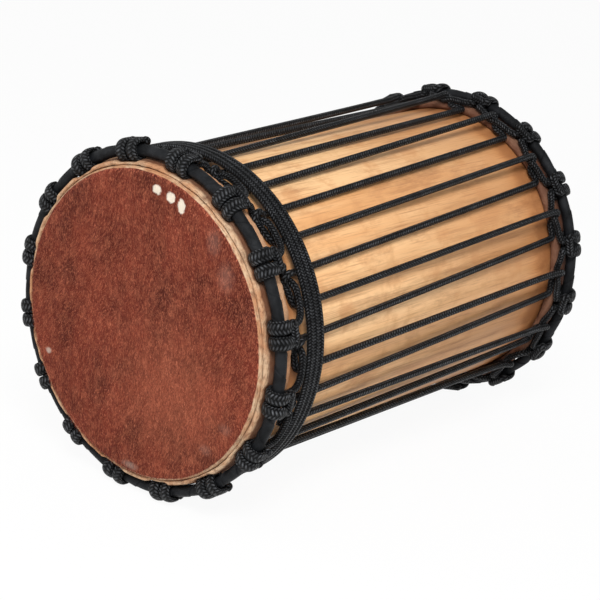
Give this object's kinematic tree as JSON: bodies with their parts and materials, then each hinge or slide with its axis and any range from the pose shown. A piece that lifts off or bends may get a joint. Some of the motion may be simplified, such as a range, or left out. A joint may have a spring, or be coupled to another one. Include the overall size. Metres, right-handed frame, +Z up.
{
  "type": "dunun drum",
  "caption": "Cylindrical log drum lying on its side, a cowhide on each end held by cloth-bound rings and laced with black braided rope.",
  "frame": {"origin": "the bottom centre of the whole drum, on the surface that it lies on", "axes": "+Y along the drum from the strike head to the bottom head, +Z up, the drum lying on its side"},
  "size_m": [0.345, 0.5, 0.3445],
  "materials": {
    "shell_wood": "smooth natural wood, lightly oiled",
    "cowhide": "short reddish brown hair, bare and tan at the rim",
    "ring_steel": "plain round bar",
    "ring_cloth": "dark cotton strip, wound tight",
    "black_rope": "braided synthetic rope"
  },
  "bodies": {
    "root": {"shell": "shell_wood", "strike_head": "cowhide", "bottom_head": "cowhide", "strike_flesh_ring": "ring_steel", "bottom_flesh_ring": "ring_steel", "strike_crown_ring": "ring_steel", "bottom_crown_ring": "ring_steel", "strike_ring_cloth": "ring_cloth", "bottom_ring_cloth": "ring_cloth", "strike_cradle_cord": "black_rope", "bottom_cradle_cord": "black_rope", "lacing_rope": "black_rope", "surplus_turns": "black_rope"}
  },
  "joints": []
}
